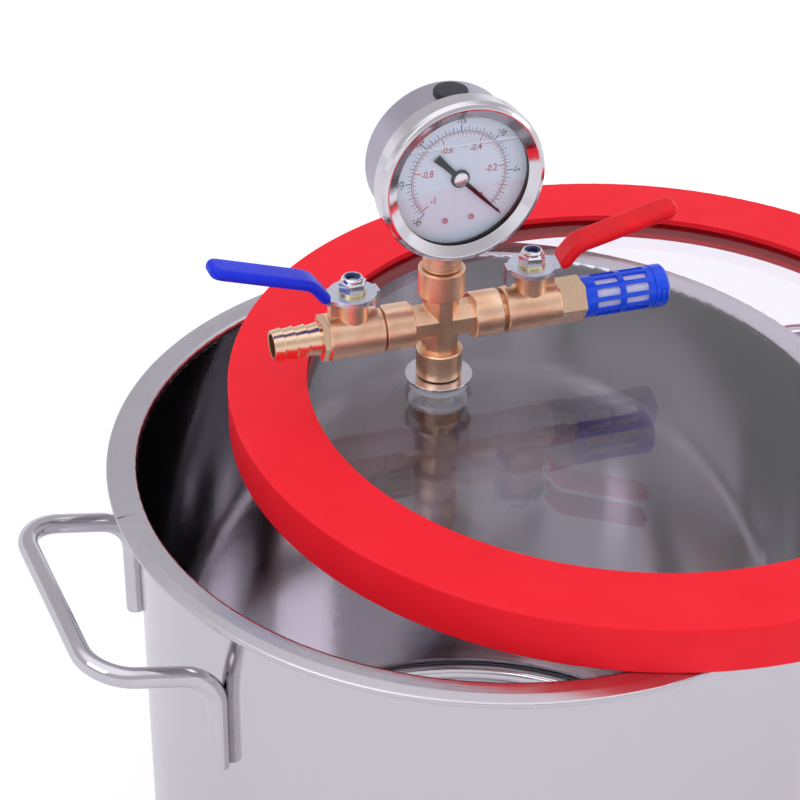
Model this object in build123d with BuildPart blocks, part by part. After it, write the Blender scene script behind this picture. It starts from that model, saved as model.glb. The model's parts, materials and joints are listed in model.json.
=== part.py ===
from build123d import *
import math
import os

os.makedirs("parts", exist_ok=True)

# Vacuum chamber: a deep pot with a thick see-through lid. The lid carries a
# four-way manifold with a gauge, a vacuum valve and a vent valve.
# Millimetres, +Z up. The origin is the middle of the pot's flat bottom, and
# X runs through the two handles.

# ---- pot
pot_inner_r = 147.3
pot_wall = 1.2
pot_floor = 1.5
pot_depth = 250.0
pot_corner_r = 10.0
rim_width = 12.7
rim_thick = 3.0
rim_crown = 0.5
rim_edge_r = 0.9
rim_inner_edge_r = 2.2

# ---- handles, bent from round bar
bar_r = 4.1
leg_spacing = 107.0
outer_spacing = 104.0
arm_drop = 35.1
arm_rise = 12.9
leg_drop = 81.5
handle_reach = 41.7
leg_bend_r = 18.0
outer_bend_r = 18.0
weld_sink = 0.6

# ---- lid: disc in a channel gasket, pushed aside on the rim
lid_shift_x = 65.4
lid_shift_y = 1.3
lid_turn = -5.8
glass_r = 166.0
glass_thick = 15.0
glass_edge = 0.8
gasket_wall = 4.5
gasket_flange = 2.6
gasket_cover = 28.8
gasket_edge_r = 0.8

# ---- port through the lid, in the lid's own directions
port_x = -79.6
port_y = 19.4
port_hole_r = 7.9
lower_washer_r = 12.5
lower_washer_thick = 1.5
upper_washer_r = 12.4
upper_washer_thick = 4.0
steel_washer_r = 14.15
steel_washer_thick = 1.2
o_ring_r = 8.8
o_ring_thick = 0.5
bolt_hex = 21.0
bolt_hex_height = 8.0
bolt_tail_r = 7.4
bolt_tail_length = 6.0
bolt_bore_r = 3.0

# ---- pipe thread size shared by every screwed joint
thread_r = 6.55
thread_slack = 0.05
thread_depth = 10.0

# ---- cross
cross_arm = 25.4
socket_length = 12.3
socket_r = 9.7
arm_across = 14.0
cross_bore_r = 4.0
socket_chamfer = 0.5

# ---- ball valves: lengths from the stem axis
blue_gap = 0.5
red_gap = 1.9
valve_r = 9.8
valve_inner = 12.1
valve_outer = 11.4
valve_bore_r = 2.6
ball_r = 5.0
ball_slack = 0.03
seat_r = 5.4
seat_outer = 5.4
seat_length = 2.2
retainer_r = 6.1
retainer_length = 1.2
neck_r = 6.5
neck_top = 17.6
stem_r = 3.9
stem_slack = 0.05
stem_flange_r = 4.9
stem_flange_z = 5.2
stem_flange_thick = 1.4
tang_width = 2.0
tang_depth = 1.7
packing_r = 5.0
packing_low = 12.6
packing_high = 16.6
rib_width = 4.4
rib_reach = 3.4

# ---- levers
lever_gap = 0.2
lever_thick = 2.0
lever_disc_r = 10.0
lever_width = 10.4
lever_length = 58.2
ramp_start = 11.2
ramp_length = 7.2
ramp_rise = 9.6
grip_slope = 18.5
bend_r = 2.4
stud_r = 2.95
stud_flat = 4.6
stud_length = 7.5
tab_width = 6.0
tab_depth = 6.0
sleeve_wall = 1.35
lock_washer_r = 5.6
lock_washer_thick = 1.2
nut_across = 10.0
nut_height = 6.0
nut_collar_r = 4.3
nut_recess_r = 3.3
nut_recess_depth = 1.5
blue_turn = -3.3
red_turn = 6.6

# ---- hose barb
fitting_hex = 17.0
barb_hex_length = 2.6
barb_count = 4
barb_pitch = 5.0
barb_crest_r = 6.9
barb_root_r = 6.2
barb_bore_r = 5.0

# ---- muffler
adapter_length = 11.3
muffler_r = 8.9
muffler_wall = 1.5
muffler_length = 31.5
muffler_base = 3.2
window_first = 4.9
window_length = 10.8
window_rib = 2.2
window_width = 3.5
window_count = 10
felt_wall = 3.2
cap_length = 6.2
cap_lip = 2.4
cap_step = 0.35

# ---- gauge: depths run forward from the axis of its connection
gauge_rise = 73.5
gauge_turn = 2.5
case_r = 31.2
case_wall = 0.8
case_back = -8.2
case_front = 16.6
bezel_r = 34.3
bezel_back = 11.0
bezel_front = 22.0
bezel_crest_r = 32.2
window_open_r = 27.6
window_r = 31.0
glass_seal_thick = 1.0
window_thick = 2.0
dial_r = 28.8
dial_depth = 13.4
dial_thick = 0.8
dial_hole_r = 2.0
screw_x = 5.5
screw_y = -18.0
pointer_depth = 15.4
pointer_thick = 0.5
pointer_length = 25.4
pointer_tail = 14.4
pointer_hub_r = 3.0
pointer_angle = -45.8
block_width = 12.0
block_front = -0.5
block_top = -12.0
neck_round_r = 7.9
neck_gap = 0.4
neck_groove = 0.35
neck_groove_count = 3
neck_groove_pitch = 1.3
plate_thick = 0.8
plate_gap = 3.9
plate_half_width = 9.0
plate_top = 6.5
plate_bottom = -20.5
pillar_x = 7.0
pillar_y = 4.0
pillar_r = 1.3
arbor_r = 0.8
arbor_slack = 0.05
pinion_r = 1.5
sector_r = 12.0
gear_slack = 0.05
sector_spread = 44.0
sector_lean = 17.0
sector_thick = 1.0
tail_length = 5.5
tube_r = 19.0
tube_thick = 2.4
tube_width = 5.0
tube_start = -70.0
tube_end = 195.0
plug_r = 6.9
plug_height = 1.5
plug_shank_r = 4.4
plug_forward = 3.5

# ---- what follows from the sizes above
pot_outer_r = pot_inner_r + pot_wall
rim_outer_r = pot_inner_r + rim_width
pot_height = pot_floor + pot_depth
wall_top = pot_height - rim_thick

gasket_r = glass_r + gasket_wall
gasket_inner_r = glass_r - gasket_cover
glass_low = gasket_flange
glass_high = glass_low + glass_thick
gasket_height = glass_high + gasket_flange
steel_low = glass_high + upper_washer_thick
ring_low = steel_low + steel_washer_thick
mouth_z = ring_low + o_ring_thick
pipe_z = mouth_z + cross_arm
screwed_r = thread_r + thread_slack


def turned_plane(base, degrees):
    """The same plane, its X direction turned about its own Z."""
    angle = math.radians(degrees)
    return Plane(base.origin, z_dir=base.z_dir,
                 x_dir=base.x_dir * math.cos(angle)
                 + base.y_dir * math.sin(angle))


def rolled_plane(base, degrees):
    """The same plane, rolled about its own X."""
    angle = math.radians(degrees)
    return Plane(base.origin, x_dir=base.x_dir,
                 z_dir=base.z_dir * math.cos(angle)
                 + base.y_dir * math.sin(angle))


def strip(path, half):
    """Outline of a strip of even thickness that follows a bent path."""
    above, below = [], []
    leans = [math.atan2(b[1] - a[1], b[0] - a[0])
             for a, b in zip(path, path[1:])]
    for (x, y), before, after in zip(path, leans[:1] + leans,
                                     leans + leans[-1:]):
        middle = (before + after) / 2
        reach = half / math.cos((after - before) / 2)
        above.append((x - math.sin(middle) * reach,
                      y + math.cos(middle) * reach))
        below.append((x + math.sin(middle) * reach,
                      y - math.cos(middle) * reach))
    return above + below[::-1]


lid_at = turned_plane(Plane((lid_shift_x, lid_shift_y, pot_height)),
                      lid_turn)
port_at = Plane(lid_at.from_local_coords((port_x, port_y, 0)),
                x_dir=lid_at.x_dir, z_dir=lid_at.z_dir)
pipe_at = port_at.offset(pipe_z)


def lengthwise(base):
    """Section plane that holds the base's X (as X) and Z (as Y)."""
    return Plane(base.origin, x_dir=base.x_dir, z_dir=-base.y_dir)


def crosswise(base, along=0.0):
    """Plane square to the base's X, moved along it."""
    return Plane(base.from_local_coords((along, 0, 0)),
                 x_dir=base.y_dir, z_dir=base.x_dir)


def forward(base):
    """Section plane of a gauge piece: X stays, Y runs along the base's Z."""
    return Plane(base.origin, x_dir=base.x_dir, z_dir=-base.y_dir)


def save(piece, name):
    piece.part.label = name
    export_step(piece.part, f"parts/{name}.step")


# ================= pot =================

# the drawn pot, one sheet with a rounded corner at the floor
with BuildPart() as pot_body:
    with BuildSketch(Plane.XZ) as pot_section:
        Polygon((0, 0), (pot_outer_r, 0), (pot_outer_r, wall_top),
                (pot_inner_r, wall_top), (pot_inner_r, pot_floor),
                (0, pot_floor), align=None)
        fillet(pot_section.vertices().filter_by(
            lambda v: v.X > 1 and v.Y < 0.01), pot_corner_r)
        fillet(pot_section.vertices().filter_by(
            lambda v: v.X > pot_inner_r - 0.01 and abs(v.Y - pot_floor) < 0.01),
            pot_corner_r - pot_wall)
    revolve(axis=Axis.Z)
save(pot_body, "pot_body")

# rim strip with a slight crown, standing out past the wall
with BuildPart() as rim_ring:
    with BuildSketch(Plane.XZ) as rim_section:
        Polygon((pot_inner_r, wall_top), (rim_outer_r, wall_top),
                (rim_outer_r, pot_height - rim_crown),
                (pot_inner_r + 0.6 * rim_width, pot_height),
                (pot_inner_r + 0.3 * rim_width, pot_height),
                (pot_inner_r, pot_height - 0.4 * rim_crown), align=None)
        fillet(rim_section.vertices().filter_by(
            lambda v: v.X > rim_outer_r - 0.01), rim_edge_r)
        fillet(rim_section.vertices().filter_by(
            lambda v: v.X < pot_inner_r + 0.01 and v.Y > wall_top + 0.1),
            rim_inner_edge_r)
    revolve(axis=Axis.Z)
save(rim_ring, "rim_ring")

# handles: legs welded down the wall, arms out, a straight bar between them
leg_y = leg_spacing / 2
outer_y = outer_spacing / 2
leg_x = math.sqrt((pot_outer_r + bar_r - weld_sink) ** 2 - leg_y ** 2)
bar_x = pot_outer_r + handle_reach
arm_z = pot_height - arm_drop
bar_z = arm_z + arm_rise
leg_z = pot_height - leg_drop
for side, way in (("left", -1), ("right", 1)):
    with BuildPart() as handle:
        with BuildLine() as handle_path:
            FilletPolyline(
                (way * leg_x, -leg_y, leg_z), (way * leg_x, -leg_y, arm_z),
                (way * bar_x, -outer_y, bar_z), (way * bar_x, outer_y, bar_z),
                (way * leg_x, leg_y, arm_z), (way * leg_x, leg_y, leg_z),
                radius=[leg_bend_r, outer_bend_r, outer_bend_r, leg_bend_r])
        with BuildSketch(Plane((way * leg_x, -leg_y, leg_z))):
            Circle(bar_r)
        sweep()
        Cylinder(pot_outer_r, pot_height, mode=Mode.SUBTRACT,
                 align=(Align.CENTER, Align.CENTER, Align.MIN))
    save(handle, f"handle_{side}")

# ================= lid =================

with BuildPart() as lid_glass:
    with BuildSketch(lid_at.offset(glass_low)):
        Circle(glass_r)
    extrude(amount=glass_thick)
    chamfer(lid_glass.edges(), glass_edge)
    with BuildSketch(port_at.offset(glass_low)):
        Circle(port_hole_r)
    extrude(amount=glass_thick, mode=Mode.SUBTRACT)
save(lid_glass, "lid_glass")

# channel gasket that wraps the disc's edge
with BuildPart() as lid_gasket:
    with BuildSketch(lengthwise(lid_at)) as channel:
        Polygon((gasket_inner_r, 0), (gasket_r, 0), (gasket_r, gasket_height),
                (gasket_inner_r, gasket_height), (gasket_inner_r, glass_high),
                (glass_r - glass_edge, glass_high),
                (glass_r, glass_high - glass_edge),
                (glass_r, glass_low + glass_edge),
                (glass_r - glass_edge, glass_low), (gasket_inner_r, glass_low),
                align=None)
        fillet(channel.vertices().filter_by(
            lambda v: v.X > gasket_r - 0.01), gasket_edge_r)
    revolve(axis=Axis(lid_at.origin, (0, 0, 1)))
save(lid_gasket, "lid_gasket")

# washers and the seal ring, each on the one below it
for name, low, thick, outer in (
        ("lower_seal_washer", glass_low - lower_washer_thick,
         lower_washer_thick, lower_washer_r),
        ("upper_seal_washer", glass_high, upper_washer_thick, upper_washer_r),
        ("clamp_washer", steel_low, steel_washer_thick, steel_washer_r)):
    with BuildPart() as washer:
        with BuildSketch(port_at.offset(low)):
            Circle(outer)
            Circle(thread_r + 2 * thread_slack, mode=Mode.SUBTRACT)
        extrude(amount=thick)
        fillet(washer.faces().sort_by(Axis.Z)[-1].outer_wire().edges(), 0.3)
    save(washer, name)

with BuildPart() as stem_o_ring:
    with BuildSketch(lengthwise(port_at)):
        with Locations((o_ring_r, ring_low + o_ring_thick / 2)):
            RectangleRounded(o_ring_thick * 1.1, o_ring_thick,
                             o_ring_thick * 0.42)
    revolve(axis=Axis(port_at.origin, (0, 0, 1)))
save(stem_o_ring, "stem_o_ring")

# hollow bolt: head under the lid, shank up into the cross
bolt_head_top = glass_low - lower_washer_thick
with BuildPart() as hollow_stem:
    with BuildSketch(port_at.offset(bolt_head_top)):
        RegularPolygon(bolt_hex / 2, 6, major_radius=False)
    extrude(amount=-bolt_hex_height)
    chamfer(hollow_stem.edges().group_by(Axis.Z)[0], 0.8)
    with BuildSketch(port_at.offset(bolt_head_top)):
        Circle(thread_r)
    extrude(amount=mouth_z - bolt_head_top + thread_depth)
    with BuildSketch(port_at.offset(bolt_head_top - bolt_hex_height)):
        Circle(bolt_tail_r)
    extrude(amount=-bolt_tail_length)
    with BuildSketch(port_at.offset(bolt_head_top - bolt_hex_height
                                    - bolt_tail_length)):
        Circle(bolt_bore_r)
    extrude(amount=bolt_tail_length + bolt_hex_height + mouth_z
            - bolt_head_top + thread_depth, mode=Mode.SUBTRACT)
save(hollow_stem, "hollow_stem")

# ================= manifold =================

# four-way cross: eight-sided cast arms and round machined sockets
with BuildPart() as cross_body:
    for base in (crosswise(pipe_at), pipe_at):
        with BuildSketch(base):
            RegularPolygon(arm_across / 2, 8, major_radius=False,
                           rotation=22.5)
        extrude(amount=cross_arm - socket_length / 2, both=True)
    fillet(cross_body.edges().filter_by(
        lambda e: e.length > 3 and (e.center() - pipe_at.origin).length
        < arm_across * 0.78), 0.8)
    for base in (crosswise(pipe_at), pipe_at):
        for end in (-1, 1):
            with BuildSketch(base.offset(end * cross_arm)):
                Circle(socket_r)
            extrude(amount=-end * socket_length)
    chamfer(cross_body.edges().filter_by(GeomType.CIRCLE).filter_by(
        lambda e: abs(e.radius - socket_r) < 0.01), socket_chamfer)
    for base in (crosswise(pipe_at), pipe_at):
        with BuildSketch(base):
            Circle(cross_bore_r)
        extrude(amount=cross_arm, both=True, mode=Mode.SUBTRACT)
        for end in (-1, 1):
            with BuildSketch(base.offset(end * cross_arm)):
                Circle(screwed_r)
            extrude(amount=-end * thread_depth, mode=Mode.SUBTRACT)
save(cross_body, "cross_body")

# ================= ball valves =================

blue_stem = cross_arm + blue_gap + valve_inner
red_stem = cross_arm + red_gap + valve_inner
blue_at = Plane(pipe_at.from_local_coords((-blue_stem, 0, 0)),
                x_dir=-pipe_at.x_dir, z_dir=pipe_at.z_dir)
red_at = Plane(pipe_at.from_local_coords((red_stem, 0, 0)),
               x_dir=pipe_at.x_dir, z_dir=pipe_at.z_dir)
seat_inner = seat_outer - seat_length
socket_floor = seat_outer + retainer_length
lever_low = neck_top + lever_gap
lever_high = lever_low + lever_thick
nut_low = lever_high + lock_washer_thick
grip_rise = (lever_length - ramp_start - ramp_length) * math.tan(
    math.radians(grip_slope))
ramp_end = ramp_start + ramp_length
sleeve_start = ramp_start + 0.8
stud_top = lever_high + stud_length - lever_thick

for colour, at, gap, rest in (("blue", blue_at, blue_gap, blue_turn),
                              ("red", red_at, red_gap, red_turn)):
    handle_at = turned_plane(at, -rest)
    stem_axis = Axis(at.origin, (0, 0, 1))

    # body: barrel along the pipe, neck for the stem, stop rib beside it
    with BuildPart() as valve_body:
        with BuildSketch(crosswise(at, -valve_inner)):
            Circle(valve_r)
        extrude(amount=valve_inner + valve_outer)
        chamfer(valve_body.edges().filter_by(GeomType.CIRCLE), 0.6)
        with BuildSketch(crosswise(at, -valve_inner)):
            Circle(thread_r)
        extrude(amount=-(gap + thread_depth))
        with BuildSketch(at):
            Circle(neck_r)
            with Locations((neck_r + rib_reach / 2 - 1, 0)):
                Rectangle(rib_reach + 2, rib_width)
        extrude(amount=neck_top)
        fillet(valve_body.faces().sort_by(Axis.Z)[-1].outer_wire().edges(),
               0.4)
        with BuildSketch(at.offset(packing_low)):
            Circle(packing_r)
        extrude(amount=neck_top - packing_low, mode=Mode.SUBTRACT)
        with BuildSketch(at):
            Circle(stem_r + stem_slack)
        extrude(amount=neck_top, mode=Mode.SUBTRACT)
        with BuildSketch(at):
            Circle(stem_flange_r + stem_slack)
        extrude(amount=stem_flange_z + stem_flange_thick + stem_slack,
                mode=Mode.SUBTRACT)
        with BuildSketch(crosswise(at, valve_outer)):
            Circle(screwed_r)
        extrude(amount=-(valve_outer - socket_floor), mode=Mode.SUBTRACT)
        with BuildSketch(crosswise(at, socket_floor)):
            Circle(retainer_r)
        extrude(amount=-retainer_length, mode=Mode.SUBTRACT)
        with BuildSketch(crosswise(at, seat_outer)):
            Circle(seat_r)
        extrude(amount=-2 * seat_outer, mode=Mode.SUBTRACT)
        with BuildSketch(crosswise(at)):
            Circle(valve_bore_r)
        extrude(amount=-(valve_inner + gap + thread_depth),
                mode=Mode.SUBTRACT)
    save(valve_body, f"{colour}_valve_body")

    # screwed insert that keeps the seats in
    with BuildPart() as valve_retainer:
        with BuildSketch(crosswise(at, seat_outer)):
            Circle(retainer_r)
            Circle(valve_bore_r, mode=Mode.SUBTRACT)
        extrude(amount=retainer_length)
    save(valve_retainer, f"{colour}_valve_retainer")

    with BuildPart() as valve_ball:
        with BuildSketch(lengthwise(handle_at)):
            with BuildLine():
                CenterArc((0, 0), ball_r, 0, 180)
                Line((-ball_r, 0), (ball_r, 0))
            make_face()
        revolve(axis=Axis(at.origin, handle_at.x_dir))
        with BuildSketch(crosswise(handle_at)):
            Circle(valve_bore_r)
        extrude(amount=ball_r, both=True, mode=Mode.SUBTRACT)
        with BuildSketch(handle_at.offset(stem_flange_z - tang_depth)):
            Rectangle(2 * ball_r, tang_width + 2 * ball_slack)
        extrude(amount=ball_r, mode=Mode.SUBTRACT)
    save(valve_ball, f"{colour}_valve_ball")

    # two soft seats, hollowed to the ball
    with BuildPart() as valve_seats:
        for end in (-1, 1):
            with BuildSketch(crosswise(at, end * seat_outer)):
                Circle(seat_r)
                Circle(valve_bore_r, mode=Mode.SUBTRACT)
            extrude(amount=-end * seat_length)
        with BuildSketch(lengthwise(at)):
            with BuildLine():
                CenterArc((0, 0), ball_r + ball_slack, 0, 180)
                Line((-ball_r - ball_slack, 0), (ball_r + ball_slack, 0))
            make_face()
        revolve(axis=Axis(at.origin, at.x_dir), mode=Mode.SUBTRACT)
        with BuildSketch(at):
            Circle(stem_flange_r + stem_slack)
        extrude(amount=ball_r + seat_r, mode=Mode.SUBTRACT)
    save(valve_seats, f"{colour}_valve_seats")

    # stem: tang in the ball, flange inside, shoulder and stud for the lever
    with BuildPart() as valve_stem:
        with BuildSketch(handle_at.offset(lever_high)):
            Circle(stud_r)
        extrude(amount=stud_top - lever_high)
        chamfer(valve_stem.edges().group_by(Axis.Z)[-1], 0.5)
        with BuildSketch(handle_at.offset(lever_low)):
            Circle(stud_r)
            Rectangle(2 * stud_r, stud_flat, mode=Mode.INTERSECT)
        extrude(amount=lever_thick)
        with BuildSketch(handle_at.offset(stem_flange_z)):
            Circle(stem_flange_r)
        extrude(amount=stem_flange_thick)
        with BuildSketch(handle_at.offset(stem_flange_z)):
            Circle(stem_r)
        extrude(amount=lever_low - stem_flange_z)
        with BuildSketch(handle_at.offset(stem_flange_z)):
            Rectangle(2 * (ball_r - tang_depth), tang_width)
        extrude(amount=-tang_depth + ball_slack)
    save(valve_stem, f"{colour}_valve_stem")

    with BuildPart() as stem_packing:
        with BuildSketch(at.offset(packing_low)):
            Circle(packing_r)
            Circle(stem_r + stem_slack, mode=Mode.SUBTRACT)
        extrude(amount=packing_high - packing_low)
    save(stem_packing, f"{colour}_stem_packing")

    # lever: pressed plate, up a ramp to a sloping grip, stop tab bent down
    lever_mid = (lever_low + lever_high) / 2
    grip_end = (lever_length, lever_mid + ramp_rise + grip_rise)
    lever_path = [(-lever_disc_r - 1, lever_mid), (ramp_start, lever_mid),
                  (ramp_end, lever_mid + ramp_rise), grip_end]
    with BuildPart() as lever:
        with BuildSketch(lengthwise(handle_at)) as lever_side:
            Polygon(*strip(lever_path, lever_thick / 2), align=None)
            fillet(lever_side.vertices().filter_by(
                lambda v: ramp_start - 3 < v.X < ramp_end + 3), bend_r)
        extrude(amount=lever_disc_r + 2, both=True)
        with BuildSketch(handle_at) as lever_plan:
            Circle(lever_disc_r)
            with Locations(((lever_length) / 2, 0)):
                Rectangle(lever_length, lever_width)
            fillet(lever_plan.vertices().sort_by(
                Axis(at.origin, handle_at.x_dir))[-2:], lever_width * 0.42)
        extrude(amount=neck_top * 4, mode=Mode.INTERSECT)
        with BuildSketch(handle_at.offset(lever_high)):
            with Locations((-lever_disc_r, 0)):
                Rectangle(lever_thick, tab_width)
        extrude(amount=-(tab_depth + lever_thick))
        with BuildSketch(handle_at.offset(lever_low)):
            Circle(stud_r)
            Rectangle(2 * stud_r, stud_flat, mode=Mode.INTERSECT)
        extrude(amount=lever_thick, mode=Mode.SUBTRACT)
    save(lever, f"{colour}_lever")

    # dipped grip: the same run, thicker all round
    grip_lean = math.radians(grip_slope)
    sleeve_path = [
        (sleeve_start, lever_mid
         + (sleeve_start - ramp_start) * ramp_rise / ramp_length),
        (ramp_end, lever_mid + ramp_rise),
        (grip_end[0] + sleeve_wall * math.cos(grip_lean),
         grip_end[1] + sleeve_wall * math.sin(grip_lean))]
    with BuildPart() as lever_sleeve:
        with BuildSketch(lengthwise(handle_at)) as sleeve_side:
            Polygon(*strip(sleeve_path, lever_thick / 2 + sleeve_wall),
                    align=None)
            fillet(sleeve_side.vertices().filter_by(
                lambda v: ramp_end - 2 < v.X < ramp_end + 3), bend_r)
        extrude(amount=lever_disc_r, both=True)
        with BuildSketch(handle_at) as sleeve_plan:
            with Locations(((lever_length + sleeve_wall) / 2, 0)):
                Rectangle(lever_length + sleeve_wall,
                          lever_width + 2 * sleeve_wall)
            fillet(sleeve_plan.vertices().sort_by(
                Axis(at.origin, handle_at.x_dir))[-2:],
                lever_width * 0.42 + sleeve_wall)
        extrude(amount=neck_top * 4, mode=Mode.INTERSECT)
        add(lever.part, mode=Mode.SUBTRACT)
    save(lever_sleeve, f"{colour}_lever_sleeve")

    with BuildPart() as lock_washer:
        with BuildSketch(handle_at.offset(lever_high)):
            Circle(lock_washer_r)
            Circle(stud_r + stem_slack, mode=Mode.SUBTRACT)
        extrude(amount=lock_washer_thick)
        fillet(lock_washer.faces().sort_by(Axis.Z)[-1].outer_wire().edges(),
               0.35)
    save(lock_washer, f"{colour}_lock_washer")

    # locking nut: hexagon with a rounded collar over its nylon ring
    with BuildPart() as lever_nut:
        with BuildSketch(handle_at.offset(nut_low)):
            RegularPolygon(nut_across / 2, 6, major_radius=False)
        extrude(amount=nut_height * 0.7)
        chamfer(lever_nut.edges().group_by(Axis.Z)[-1], 0.5)
        with BuildSketch(handle_at.offset(nut_low)):
            Circle(nut_collar_r)
        extrude(amount=nut_height)
        fillet(lever_nut.edges().group_by(Axis.Z)[-1], 0.9)
        with BuildSketch(handle_at.offset(nut_low)):
            Circle(stud_r)
        extrude(amount=nut_height, mode=Mode.SUBTRACT)
        with BuildSketch(handle_at.offset(nut_low + nut_height)):
            Circle(nut_recess_r)
        extrude(amount=-nut_recess_depth, mode=Mode.SUBTRACT)
    save(lever_nut, f"{colour}_lever_nut")

# ================= hose barb =================

barb_start = valve_outer + barb_hex_length
barb_points = [(barb_start, 0), (barb_start, barb_root_r)]
for ridge in range(barb_count):
    near = barb_start + ridge * barb_pitch
    barb_points += [(near + 0.7, barb_root_r), (near + 0.9, barb_crest_r),
                    (near + barb_pitch, barb_root_r)]
barb_points += [(barb_start + barb_count * barb_pitch, 0)]
with BuildPart() as hose_barb:
    with BuildSketch(crosswise(blue_at, valve_outer)):
        RegularPolygon(fitting_hex / 2, 6, major_radius=False)
    extrude(amount=barb_hex_length)
    with BuildSketch(crosswise(blue_at, valve_outer)):
        Circle(thread_r)
    extrude(amount=-(valve_outer - socket_floor))
    with BuildSketch(lengthwise(blue_at)):
        Polygon(*barb_points, align=None)
    revolve(axis=Axis(blue_at.origin, blue_at.x_dir))
    with BuildSketch(crosswise(blue_at, socket_floor)):
        Circle(barb_bore_r)
    extrude(amount=barb_start + barb_count * barb_pitch - socket_floor,
            mode=Mode.SUBTRACT)
save(hose_barb, "hose_barb")

# ================= muffler =================

muffler_at = Plane(red_at.from_local_coords((valve_outer + adapter_length,
                                             0, 0)),
                   x_dir=red_at.x_dir, z_dir=red_at.z_dir)
with BuildPart() as muffler_adapter:
    with BuildSketch(crosswise(muffler_at)):
        RegularPolygon(fitting_hex / 2, 6, major_radius=False)
    extrude(amount=-adapter_length)
    with BuildSketch(crosswise(muffler_at)):
        Circle(thread_r)
    extrude(amount=muffler_base)
    with BuildSketch(crosswise(red_at, valve_outer)):
        Circle(thread_r)
    extrude(amount=-(valve_outer - socket_floor))
    with BuildSketch(crosswise(muffler_at, muffler_base)):
        Circle(cross_bore_r)
    extrude(amount=-(muffler_base + adapter_length + valve_outer
                     - socket_floor), mode=Mode.SUBTRACT)
save(muffler_adapter, "muffler_adapter")

# moulded cage: screwed base, two rings of windows, a neck for the cap
with BuildPart() as muffler_cage:
    with BuildSketch(crosswise(muffler_at)):
        Circle(muffler_r)
    extrude(amount=muffler_length)
    fillet(muffler_cage.edges().filter_by(GeomType.CIRCLE).sort_by(
        Axis(muffler_at.origin, muffler_at.x_dir))[0], 0.8)
    with BuildSketch(crosswise(muffler_at, muffler_length)):
        Circle(muffler_r - muffler_wall / 2)
    extrude(amount=cap_lip)
    with BuildSketch(crosswise(muffler_at, muffler_base)):
        Circle(muffler_r - muffler_wall)
    extrude(amount=muffler_length + cap_lip - muffler_base,
            mode=Mode.SUBTRACT)
    with BuildSketch(crosswise(muffler_at)):
        Circle(screwed_r)
    extrude(amount=muffler_base, mode=Mode.SUBTRACT)
    for step in range(window_count):
        slot_at = rolled_plane(muffler_at, 360 / window_count * (step + 0.5))
        with BuildSketch(slot_at.offset(muffler_r + 1)):
            for row in range(2):
                with Locations((window_first + window_length / 2
                                + row * (window_length + window_rib), 0)):
                    RectangleRounded(window_length, window_width, 0.7)
        extrude(amount=-(muffler_wall + 2), mode=Mode.SUBTRACT)
save(muffler_cage, "muffler_cage")

with BuildPart() as muffler_felt:
    with BuildSketch(crosswise(muffler_at, muffler_base)):
        Circle(muffler_r - muffler_wall)
        Circle(muffler_r - muffler_wall - felt_wall, mode=Mode.SUBTRACT)
    extrude(amount=muffler_length + cap_lip - muffler_base)
save(muffler_felt, "muffler_felt")

with BuildPart() as muffler_cap:
    with BuildSketch(crosswise(muffler_at, muffler_length)):
        Circle(muffler_r + cap_step)
    extrude(amount=cap_length)
    chamfer(muffler_cap.faces().sort_by(
        Axis(muffler_at.origin, muffler_at.x_dir))[-1].edges(), 1.1)
    with BuildSketch(crosswise(muffler_at, muffler_length)):
        Circle(muffler_r - muffler_wall / 2)
    extrude(amount=cap_lip, mode=Mode.SUBTRACT)
    for angle in (90, 270):
        latch_at = rolled_plane(muffler_at, angle)
        with BuildSketch(latch_at.offset(muffler_r + 1)):
            with Locations((muffler_length + cap_length * 0.52, 0)):
                Rectangle(cap_length * 0.45, window_width * 2)
                Rectangle(cap_length * 0.45 - 0.8, window_width * 2 - 0.8,
                          mode=Mode.SUBTRACT)
        extrude(amount=-1.4, mode=Mode.SUBTRACT)
save(muffler_cap, "muffler_cap")

# ================= gauge =================

facing_at = turned_plane(pipe_at.offset(gauge_rise), gauge_turn)
gauge_at = Plane(facing_at.origin, x_dir=facing_at.x_dir,
                 z_dir=-facing_at.y_dir)
gauge_axis = Axis(gauge_at.origin, gauge_at.z_dir)
section_at = forward(gauge_at)
section_sign = 1 if (section_at.y_dir - gauge_at.z_dir).length < 1e-6 else -1


def rings(points):
    """Radius and depth pairs of a round gauge piece, as section points."""
    return [(r, section_sign * d) for r, d in points]


window_back = case_front + glass_seal_thick
window_front = window_back + window_thick

with BuildPart() as gauge_case:
    with BuildSketch(gauge_at.offset(case_back)):
        Circle(case_r)
    extrude(amount=case_front - case_back)
    fillet(gauge_case.edges().sort_by(gauge_axis)[0], 2.0)
    with BuildSketch(gauge_at.offset(case_back + case_wall)):
        Circle(case_r - case_wall)
    extrude(amount=case_front - case_back, mode=Mode.SUBTRACT)
    # way out for the connection block
    with BuildSketch(Plane(gauge_at.origin, x_dir=gauge_at.x_dir,
                           z_dir=-gauge_at.y_dir).offset(case_r - 4)):
        Rectangle(block_width, block_width)
    extrude(amount=6, mode=Mode.SUBTRACT)
    # filling hole in the top
    with BuildSketch(Plane(gauge_at.from_local_coords((0, 0, plug_forward)),
                           x_dir=gauge_at.x_dir,
                           z_dir=gauge_at.y_dir).offset(case_r - 4)):
        Circle(plug_shank_r)
    extrude(amount=6, mode=Mode.SUBTRACT)
save(gauge_case, "gauge_case")

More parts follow.
